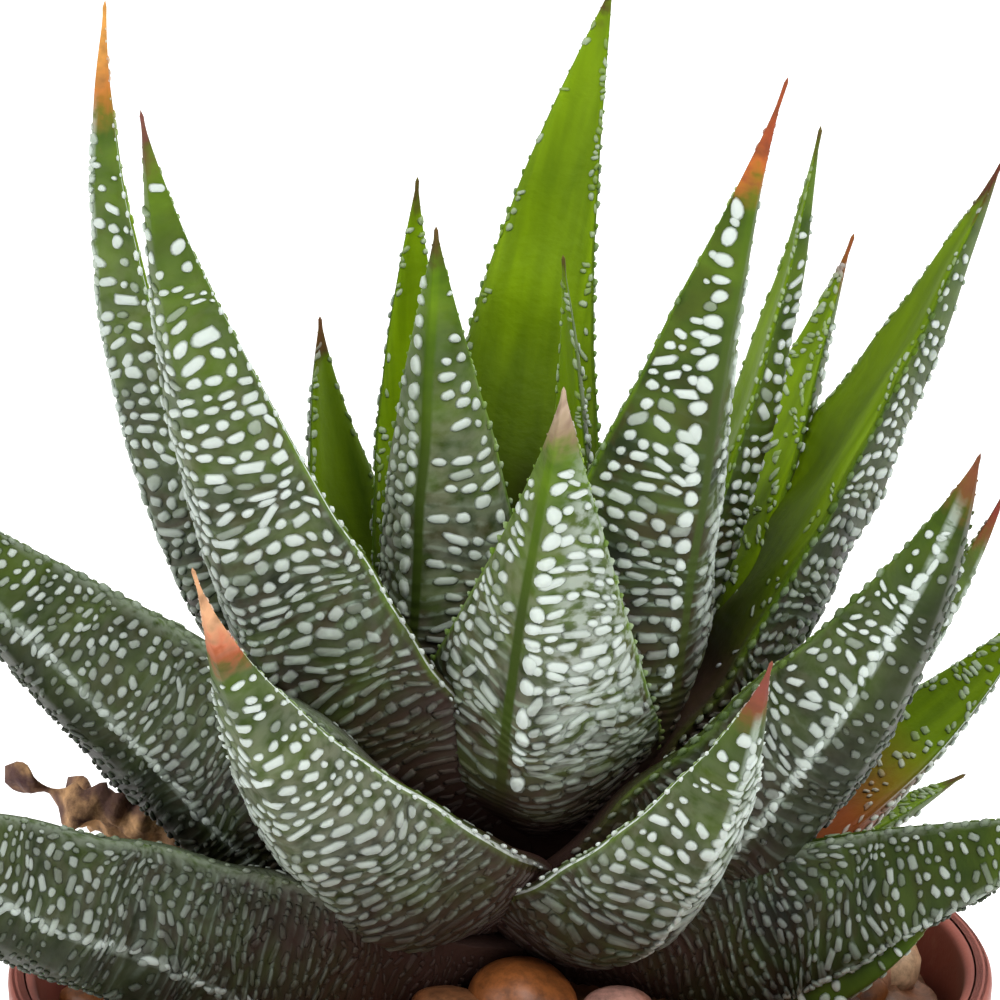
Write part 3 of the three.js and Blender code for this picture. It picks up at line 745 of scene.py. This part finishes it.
def leaf_material(name, tip_share):
    """Living leaf skin. Its colour follows the attributes skin (along, inside, whiteness, across) and
    place (millimetres across, row of tubercles), so each pattern runs with the leaf."""
    made, tree, shader = material("leaf skin " + name)
    tone = TONE.get(name, 1)

    def green_of(hex_colour):
        """A colour at this leaf's depth of green, which carries painted light and shade."""
        return (*(tone * part for part in linear(hex_colour)[:3]), 1.0)

    skin = add(tree, "Attribute", attribute_name="skin")
    parts = add(tree, "SeparateColor", {"Color": skin.outputs["Color"]})
    along, inside, white = (parts.outputs[k] for k in ("Red", "Green", "Blue"))
    edge = skin.outputs["Alpha"]
    on_outer = (inside, 1, 0)
    lay = add(tree, "Attribute", attribute_name="place").outputs["Vector"]
    places = add(tree, "SeparateXYZ", {"Vector": lay})
    across, row = places.outputs["X"], places.outputs["Y"]
    stretched = add(tree, "Mapping", {"Vector": lay, "Scale": (1, 0.16, 1)}).outputs["Vector"]
    blotch, streak, fleck, rust = (
        add(tree, "TexNoise", {"Vector": way, "Scale": 1 / size, "Detail": detail}).outputs["Fac"]
        for way, size, detail in ((lay, 3.2, 4), (stretched, 1.1, 3), (lay, 0.9, 3), (lay, 1.7, 2))
    )

    # The outer face is dark and dotted, and smoother at the margins and the tip than at the base.
    # Between the tubercles the skin is dark: partly its own colour, partly painted shade of the crevices
    # between them.
    dotted = coat(green_of("#20261a"), green_of("#404e20"), (blotch, 0.35, 0.65))
    dotted = coat(dotted, green_of("#3a2a1e"), (rust, 0.48, 0.62), most=0.6)
    smooth = coat(green_of("#3c5806"), green_of("#628010"), (blotch, 0.3, 0.7))
    # The inner face is bright yellow-green: partly its own colour, partly a painted glow of light shining
    # through the leaf.
    bright = coat(green_of("#5a7600"), green_of("#80a000"), (streak, 0.2, 0.8))
    # The inner face darkens towards the base: painted shade of the deep hollow between the leaves.
    shaded = coat(bright, "#1c1f04", (along, 0.62, 0.3))
    outer = coat(dotted, smooth, (along, 0.45, 1), most=0.9)
    outer = coat(outer, smooth, (edge, 0.84, 0.94))
    living = coat(outer, shaded, (inside, 0, 1))

    # Each row of tubercles stands on a low pale ridge, broken by noise.
    turned = add(tree, "Math", {0: row, 1: 2 * math.pi}, operation="MULTIPLY").outputs[0]
    crest = add(tree, "Math", {0: turned}, operation="COSINE").outputs[0]
    fade = share_of((along, 0.1, 0.24), (along, 0.62, 0.36), on_outer, most=0.75)
    ridge = ((crest, 0.3, 0.95), (fleck, 0.4, 0.6), (fade, 0, 1), (edge, 0.93, 0.82))
    living = coat(living, green_of("#8ea090"), *ridge)
    # A pale grey coat over the outer face: painted sheen.
    if name in PAINTED_SHEEN:
        sheen_mask = ((fleck, 0.3, 0.6), on_outer, (along, 0.9, 0.65), (along, 0.2, 0.46))
        living = coat(living, "#a9ae98", *sheen_mask, most=PAINTED_SHEEN[name])

    # The keel, the margins and the side that faces down differ from leaf to leaf.
    ahead = share_of((along, 1, 0))
    shift = KEEL_SHIFT.get(name, 0)
    beside = add(tree, "Math", {0: ahead, 1: -shift, 2: across}, operation="MULTIPLY_ADD").outputs[0]
    off_keel = add(tree, "Math", {0: beside}, operation="ABSOLUTE").outputs[0]
    if name in SHADED_SIDE:
        side = SHADED_SIDE[name]
        # The side that faces down is painted dark: painted shade.
        living = coat(living, "#14170c", (beside, -0.1 * side, side), on_outer, most=0.6)
    if name in WHITE_KEEL:
        keel = ((off_keel, 0.3, 0.12), on_outer, (along, 0.22, 0.4), (fleck, 0.35, 0.5))
        living = coat(living, "#b9c6ba", *keel, most=0.55 * FAINT.get(name, 1) ** 2)
    if name in BARE_KEEL:
        # The bare keel darkens towards the base: painted shade.
        strip = coat(smooth, "#3a4a18", (along, 0.92, 0.6))
        living = coat(living, strip, (off_keel, 0.34, 0.2), on_outer)
    if name in CROWDED_HIGHLIGHT:
        side = CROWDED_HIGHLIGHT[name][0]
        # A pale coat between the crowded tubercles on that half: a painted highlight.
        highlight_mask = ((across, 0.5 * side, 1.4 * side), on_outer, (along, 0.95, 0.8), (along, 0.22, 0.4))
        living = coat(living, "#c9d4cf", *highlight_mask, (fleck, 0.44, 0.56), most=0.42)
    if name in SILVER_MARGIN:
        side = -SHADED_SIDE[name]
        silver = ((edge, 0.74, 0.9), (across, 0.4 * side, 0.8 * side), (fleck, 0.3, 0.55))
        living = coat(living, "#7c8676", *silver, most=0.7)
    if name in WHITE_MARGIN:
        rim = 1 - WHITE_MARGIN[name]
        margin = ((edge, rim, rim + 0.02), (fleck, 0.33, 0.46), (along, 0.94, 0.84))
        living = coat(living, "#dfe8e2", *margin, most=0.85)
    if name in RED_BASE:
        red = coat("#a05620", "#6a3016", (streak, 0, 1))
        living = coat(living, red, (along, 0.68, 0.5))

    # The base is brown, and the tip has dried from a ragged line on.
    worn = add(tree, "Math", {0: blotch, 1: 0.2, 2: along}, operation="MULTIPLY_ADD").outputs[0]
    living = coat(living, "#3e2b25", (worn, 0.5, 0.24))
    torn = add(tree, "Math", {0: fleck, 1: 0.07, 2: along}, operation="MULTIPLY_ADD").outputs[0]
    ragged = add(tree, "Math", {0: streak, 1: 0.09, 2: torn}, operation="MULTIPLY_ADD").outputs[0]
    start = 1.08 - tip_share
    tip_colour, _, foot_colour = TIPS.get(name, PLAIN_TIP)
    flushed = coat(living, foot_colour, (ragged, start - 0.035, start), most=0.3)
    dried = share_of((ragged, start - 0.015, start + 0.015))
    tip = coat(tip_colour, foot_colour, (ragged, start + 0.05, start))
    tip = coat(tip, "#5a3c28", (fleck, 0.45, 0.75), most=0.6)
    ended = coat(flushed, tip, (dried, 0, 1))
    pearl = coat(ended, "#ccd7cf", (white, 0, 1))
    rough = add(tree, "MapRange", {"Value": dried, "To Min": 0.5, "To Max": 0.75}).outputs["Result"]
    raised = share_of((fade, 0, 1), most=0.5)
    ridged = add(tree, "Math", {0: crest, 1: raised, 2: fleck}, operation="MULTIPLY_ADD")
    ridges = ridged.outputs[0]
    dress(tree, shader, pearl, rough, ridges, strength=0.6, depth=0.12, IOR=LEAF_IOR)
    flesh = {
        "Specular IOR Level": 0.2,
        "Subsurface Weight": 0.1 if name in HEART else 0.04,
        "Subsurface Radius": (0.6, 1.0, 0.2),
        "Subsurface Scale": 1.2 * MM,
    }
    feed(tree, shader, flesh)
    return made


def grow(leaf, seed):
    """One leaf with its tubercles and teeth, as one mesh with the attributes that its skin reads."""
    draw = np.random.default_rng(seed)
    length = leaf_length(leaf)
    outer = domes(leaf, leaf_rows(leaf, draw), False)
    per_mm, inmost, pale = DOTS[leaf.name in DOTTED_INSIDE]
    count = int(length * per_mm)
    s = np.linspace(0.3 * length, 0.94 * length, count)
    out = draw.uniform(inmost, OUTMOST_DOT, count)
    x = draw.choice([-1, 1], count) * SECTION * leaf_width(leaf, s / length) * out
    lining = column(s, x, (0.22, 0.46), (0.15, 0.26), 0.1, pale, draw)
    groups = (leaf_body(leaf), outer, domes(leaf, lining, True), teeth(leaf, draw))
    mesh = mesh_of("leaf_" + leaf.name, *joined(groups))
    places, white = (np.concatenate(values) for values in zip(*(group[3:] for group in groups)))
    t, v, inside = places.T
    x = v * SECTION * leaf_width(leaf, t)
    even = np.maximum(t * length - row_wave(leaf, x, t * length), 0)
    rows = row_number(length, even, FINE.get(leaf.name, 1))
    skin = np.column_stack([t, inside, white, np.abs(v)])
    lay = np.column_stack([x + 40 * inside, rows, np.full(len(t), 10.0 * seed)])
    mesh.attributes.new("skin", "FLOAT_COLOR", "POINT").data.foreach_set("color", skin.ravel())
    mesh.attributes.new("place", "FLOAT_VECTOR", "POINT").data.foreach_set("vector", lay.ravel())
    finish = leaf_material(leaf.name, TIPS.get(leaf.name, PLAIN_TIP)[1] / length)
    slot = "heart_leaf" if leaf.name in HEART else "leaf"
    return place("haworthia_leaf_" + leaf.name, mesh, finish, slot, "leaf_" + leaf.name)


for number, leaf in enumerate(LEAVES):
    grow(leaf, number + 1)

# The stem
# A short corky stem with rings where old leaves were. It ends in the green bud of the leaves to come.

STEM = {
    "root": 17.7,
    "root_radius": 2.6,
    "shoulder": 13.7,
    "radius": 4.3,
    "neck": 7,
    "bud": 14,
    "bud_radius": 1.4,
    "tip": 22,
    "sides": 48,
}
rim = POT["height"]
stem_profile = [
    [0, rim - STEM["root"]],
    [STEM["root_radius"], rim - STEM["root"], 0.8],
    [STEM["radius"], rim - STEM["shoulder"], 1.5],
    [STEM["radius"], rim + STEM["neck"], 1.5],
    [STEM["bud_radius"], rim + STEM["bud"], 1],
    [0, rim + STEM["tip"]],
]
stem_points, *stem_faces = revolved(rounded(stem_profile, 8), STEM["sides"])
stem_points[:, 0] += AXIS_OFFSET
cork, tree, shader = material("corky stem")
where = add(tree, "TexCoord").outputs["Object"]
height = add(tree, "SeparateXYZ", {"Vector": where}).outputs["Z"]
flat = add(tree, "Mapping", {"Vector": where, "Scale": (0.3, 0.3, 1)}).outputs["Vector"]
rings = add(tree, "TexNoise", {"Vector": flat, "Scale": 1 / (1.2 * MM), "Detail": 4})
bark = coat("#1c100b", "#6b4a30", (rings.outputs["Fac"], 0, 1))
budding = (height, (rim + STEM["neck"] + 2) * MM, (rim + STEM["bud"]) * MM)
living = coat(bark, "#5c7a14", budding)
dress(tree, shader, living, 0.75, rings.outputs["Fac"], strength=0.6, depth=0.4)
place("stem_and_bud", mesh_of("stem", stem_points, *stem_faces), cork, "stem", "stem")

# The dead leaves
# Old leaves that have dried at the foot of the plant: brittle papery flakes, blunt and torn at the
# end, cupped along their length, crumpled, and tan to purple-brown.

DRY_LEAVES = [
    ("left", 177, 31, 12.3, 2.6, 20, 9, 45, 0, 0.35),
    ("back", 169, 27.8, 10.3, 2.4, 35, 9.5, 45, 0, 0.35),
]
DRY_LEAVES = [Leaf(*row) for row in DRY_LEAVES]
DRY_THICKNESS = 0.5
DRY_RINGS = 90
DRY_POINTS = 21


def dry_skin(leaf, t, v, inner):
    """Skin of a dead leaf: a thin shell, cupped more towards its foot, with a torn outline and creases
    from noise. The left one is torn nearly through close to its end."""
    point, along, across, facing, length = leaf_frame(leaf, t)
    width = leaf_width(leaf, t)
    torn = 1 + 0.3 * lumps(np.stack([t * length, np.sign(v) * 5], -1), 1.7, 31) * np.abs(v) ** 2
    if leaf.name == "left":
        torn = torn * (1 - 0.86 * np.exp(-(((t - 0.9) / 0.04) ** 2)))
    half = np.maximum(width / 2, 0.25) * np.clip(torn, 0.1, 1.1)
    cup = 1.7 - 0.7 * t
    curl = cup * v
    radius = half / np.sin(cup).clip(0.9)
    shell = np.where(inner, radius - DRY_THICKNESS * np.minimum(half, 1), radius)
    lift = radius * (1 - t) * 0.4 - shell * np.cos(curl) + radius * 0.5
    flat = point + across * (shell * np.sin(curl))[..., None] + facing * lift[..., None]
    folds = 0.55 * lumps(np.stack([t * length, v * half * 0.6], -1), 3.2, 9)
    crumple = 0.42 * np.abs(lumps(np.stack([t * length * 0.7, v * half], -1), 2.2, 10)) - 0.3
    return flat + facing * ((folds + crumple) * np.minimum(half / 2, 1))[..., None]


paper, tree, shader = material("dried leaf")
where = add(tree, "TexCoord").outputs["Object"]
patch, veins, bruise = (
    add(tree, "TexNoise", {"Vector": where, "Scale": 1 / size, "Detail": detail, "Roughness": rough})
    for size, detail, rough in ((2.2 * MM, 6, 0.65), (0.5 * MM, 3, 0.5), (4.5 * MM, 3, 0.5))
)
tan = coat("#4a2a1c", "#cfa070", (patch.outputs["Fac"], 0.36, 0.6))
purple = coat(tan, "#4a2c30", (bruise.outputs["Fac"], 0.5, 0.58), most=0.8)
dress(tree, shader, purple, 0.8, veins.outputs["Fac"], strength=0.6, depth=0.25)
for leaf in DRY_LEAVES:
    t = 0.985 * np.linspace(0, 1, DRY_RINGS)
    v = np.concatenate([np.linspace(-1, 1, DRY_POINTS), np.linspace(1, -1, DRY_POINTS)])
    dry_mesh = mesh_of("dry_leaf_" + leaf.name, *blade(leaf, dry_skin, t, v, DRY_POINTS)[:3])
    place("dried_leaf_" + leaf.name, dry_mesh, paper, "dry_leaf", "dry_leaf_" + leaf.name)

# The gravel
# Rounded river pebbles, peach, red-brown and grey, spread over the soil after planting: a bed of
# small grit with pebbles pressed into it. They give way to the leaves that lie on them.

GRAVEL = {
    "foot": POT["height"] - 3.9,
    "edge": POT["height"] - 3.4,
    "centre": POT["height"] + 1.4,
    "inner": 5.4,
    "power": 1.3,
    "gap": 0.3,
    "sides": 160,
}
# Across, towards the back and half length of the pebbles that show at the front, and their colours.
FRONT_PEBBLES = [
    (-2.7, -10.8, 2.9, "#7a4e30"),
    (1.4, -10, 3.6, "#8a5026"),
    (-7.6, -10.5, 2.5, "#c98f6b"),
    (7.2, -10, 2.4, "#b98a7c"),
    (-12.4, -11, 2.2, "#cfa64e"),
    (19.6, -12, 2.4, "#c4a183"),
]
STONES = "#c98f6b #8a5226 #b98a7c #a8795c #d2b08c #7c5a48 #b5aa9c #98603c #c9a07a".split()
PEBBLE_COUNT = 270
PEBBLE_SIZES = (1.3, 3)
# Rings and points round of a pebble in front and of the others.
FRONT_GRID = (20, 30)
GRID = (8, 12)
# Leaves whose tip is lower than this above the rim press the pebbles down.
LOW_TIP = 37


def gravel_level(reach):
    """Height of the bed at this distance from the axis: a low mound that falls by a power curve."""
    outer = fill_radius(GRAVEL["edge"])
    share = np.clip((reach - GRAVEL["inner"]) / (outer - GRAVEL["inner"]), 0, 1)
    return GRAVEL["centre"] - (GRAVEL["centre"] - GRAVEL["edge"]) * share ** GRAVEL["power"]


def pebble(centre, size, draw, rings, around):
    """A rounded stone: a sphere flattened and turned at random, swelled by smooth noise."""
    down = np.pi * (np.arange(1, rings) / rings)
    ball = swept(np.stack([np.sin(down), np.cos(down)], -1), around)
    ball = np.concatenate([ball, [[0, 0, 1], [0, 0, -1]]])
    ball *= 1 + 0.1 * lumps(ball, 2.2, draw.integers(1 << 30))[:, None]
    ball *= [1, draw.uniform(0.7, 0.95), draw.uniform(0.55, 0.75)]
    tip, spin = draw.uniform(-0.35, 0.35), draw.uniform(0, 2 * np.pi)
    lean = np.array([[1, 0, 0], [0, np.cos(tip), -np.sin(tip)], [0, np.sin(tip), np.cos(tip)]])
    swing = np.array([[np.cos(spin), -np.sin(spin), 0], [np.sin(spin), np.cos(spin), 0], [0, 0, 1]])
    points = ball @ lean.T @ swing.T * size + centre
    fans = end_fans(around, (rings - 2) * around, len(points) - 2, len(points) - 1)[:, [0, 2, 1]]
    return points, ring_faces(rings - 1, around)[:, ::-1], fans


outer = fill_radius(GRAVEL["edge"])
bed_reach = np.linspace(outer - GRAVEL["gap"], GRAVEL["inner"], 50)
under_rim = fill_radius(GRAVEL["foot"]) - GRAVEL["gap"]
bed_profile = np.concatenate(
    [
        [[GRAVEL["inner"], GRAVEL["foot"]], [under_rim, GRAVEL["foot"]]],
        np.stack([bed_reach, gravel_level(bed_reach)], -1),
    ]
)
bed = swept(bed_profile, GRAVEL["sides"])
grit = 0.35 * np.abs(lumps(bed, 2.4, 21)) + 0.25 * np.abs(lumps(bed, 1.2, 22))
bed[:, 2] += np.where(bed[:, 2] > GRAVEL["foot"] + 0.1, grit - 0.45, 0)

# The last ring of the bed meets its first one round the hole in the middle.
hole = ring_faces(2, GRAVEL["sides"])
to_last = (len(bed_profile) - 1) * GRAVEL["sides"]
hole = np.where(hole >= GRAVEL["sides"], hole - GRAVEL["sides"], hole + to_last)
bed_quads = np.concatenate([ring_faces(len(bed_profile), GRAVEL["sides"]), hole])
no_triangles = np.zeros((0, 3), int)
stones = [(bed, bed_quads, no_triangles, linear("#6e4c36"))]
draw = np.random.default_rng(5)
low_t, low_v = np.meshgrid(np.linspace(0.02, 0.98, 60), np.linspace(-0.95, 0.95, 15))
low_leaves = [leaf for leaf in LEAVES + DRY_LEAVES if leaf.height < LOW_TIP]
low_skin = [leaf_skin(leaf, low_t, low_v, False).reshape(-1, 3) for leaf in low_leaves]
leaf_under = np.concatenate(low_skin)
spots = [(*front, FRONT_GRID) for front in FRONT_PEBBLES]
golden = math.pi * (3 - math.sqrt(5))
for i in range(PEBBLE_COUNT):
    size = draw.uniform(*PEBBLE_SIZES)
    share = math.sqrt((i + 0.5) / PEBBLE_COUNT)
    reach = GRAVEL["inner"] + size * 0.5 + (outer - GRAVEL["inner"] - size * 1.5) * share
    angle = i * golden + draw.normal(0, 0.08)
    x, y = reach * math.cos(angle), reach * math.sin(angle)
    if all(math.hypot(x - a, y - b) > 0.75 * (size + c) for a, b, c, _ in FRONT_PEBBLES):
        spots.append((x, y, size, STONES[draw.integers(len(STONES))], GRID))
for x, y, size, colour, grid in spots:
    near = np.hypot(leaf_under[:, 0] - x, leaf_under[:, 1] - y) < 0.8 * size
    level = gravel_level(math.hypot(x, y)) + 0.18 * size
    if near.any():
        level = min(level, leaf_under[near, 2].min() - 0.3 * size)
    shade = np.array(linear(colour)) * draw.uniform(0.8, 1.15)
    stones.append((*pebble(np.array([x, y, level]), size, draw, *grid), shade))
gravel_mesh = mesh_of("gravel", *joined(stones))
tints = np.concatenate([np.broadcast_to(shade, (len(points), 4)) for points, _, _, shade in stones])
gravel_mesh.attributes.new("tint", "FLOAT_COLOR", "POINT").data.foreach_set("color", tints.ravel())

river_stone, tree, shader = material("river pebbles")
where = add(tree, "TexCoord").outputs["Object"]
tint = add(tree, "Attribute", attribute_name="tint").outputs["Color"]
speck = add(tree, "TexNoise", {"Vector": where, "Scale": 1 / (0.8 * MM), "Detail": 7, "Roughness": 0.7})
cloud = add(tree, "TexNoise", {"Vector": where, "Scale": 1 / (3.5 * MM), "Detail": 3})
shades = {"From Min": 0.35, "From Max": 0.6, "To Min": 0.5, "To Max": 1.15}
darker = add(tree, "MapRange", {"Value": speck.outputs["Fac"], **shades}).outputs["Result"]
mottled = add(tree, "Mix", {0: 1.0, 6: tint, 7: darker}, data_type="RGBA", blend_type="MULTIPLY")
rusty = coat(mottled.outputs[2], "#8a4a22", (cloud.outputs["Fac"], 0.5, 0.7), most=0.45)
dress(tree, shader, rusty, 0.42, speck.outputs["Fac"], strength=0.35, depth=0.15)
place("pebble_bed", gravel_mesh, river_stone, "gravel", "gravel")

# Floor, light and camera
# A white sweep under soft studio light: a large lamp high at the front right, a larger one at the
# front left, and one behind that lights the leaf edges. The camera looks down a little at the plant.

FLOOR = 2500
PAPER = 0.94
FLOOR_GLOW = 0.55
ROOM_LIGHT = 0.32
# Azimuth, elevation, distance and size of each lamp, and its watts.
LAMPS = {
    "key": (-50, 52, 650, 420, 3.2),
    "fill": (-155, 38, 800, 600, 3.3),
    "edge": (60, 55, 700, 400, 2.2),
}
VIEW = {"elevation": 18, "distance": 700, "rise": 29.8, "focal": 419.3}

floor_mesh = mesh_of(
    "floor",
    FLOOR * np.array([[-1, -1, 0], [1, -1, 0], [1, 1, 0], [-1, 1, 0]], float),
    np.array([[0, 1, 2, 3]]),
    no_triangles,
)
floor = put("floor", floor_mesh)
white_paper, tree, shader = material("white paper")
surface = {
    "Base Color": (PAPER, PAPER, PAPER, 1),
    "Roughness": 0.9,
    "Emission Color": (1, 1, 1, 1),
    "Emission Strength": FLOOR_GLOW,
}
feed(tree, shader, surface)
floor.data.materials.append(white_paper)

heart = [0, 0, POT["height"] + VIEW["rise"]]
for name, (azimuth, elevation, distance, size, watts) in LAMPS.items():
    light = bpy.data.lights.new(name, "AREA")
    light.shape = "DISK"
    light.size = size * MM
    light.energy = watts
    lamp = put(name, light)
    turn, rise = math.radians(azimuth), math.radians(elevation)
    away = np.array([math.cos(rise) * math.cos(turn), math.cos(rise) * math.sin(turn), math.sin(rise)])
    lamp.location = (np.array(heart) + away * distance) * MM
    lamp.rotation_euler = (math.pi / 2 - rise, 0, turn + math.pi / 2)

world = bpy.data.worlds.new("studio")
world.use_nodes = True
sky = world.node_tree.nodes["Background"]
feed(world.node_tree, sky, {"Color": (1, 1, 1, 1), "Strength": ROOM_LIGHT})
bpy.context.scene.world = world
bpy.context.scene.view_settings.view_transform = "Standard"

camera = put("camera", bpy.data.cameras.new("camera"))
lift = math.radians(VIEW["elevation"])
camera.location = (
    0,
    -VIEW["distance"] * math.cos(lift) * MM,
    (heart[2] + VIEW["distance"] * math.sin(lift)) * MM,
)
camera.rotation_euler = (math.pi / 2 - lift, 0, 0)
camera.data.sensor_width = 36
camera.data.lens = VIEW["focal"]
camera.data.clip_start = 0.01
bpy.context.scene.camera = camera
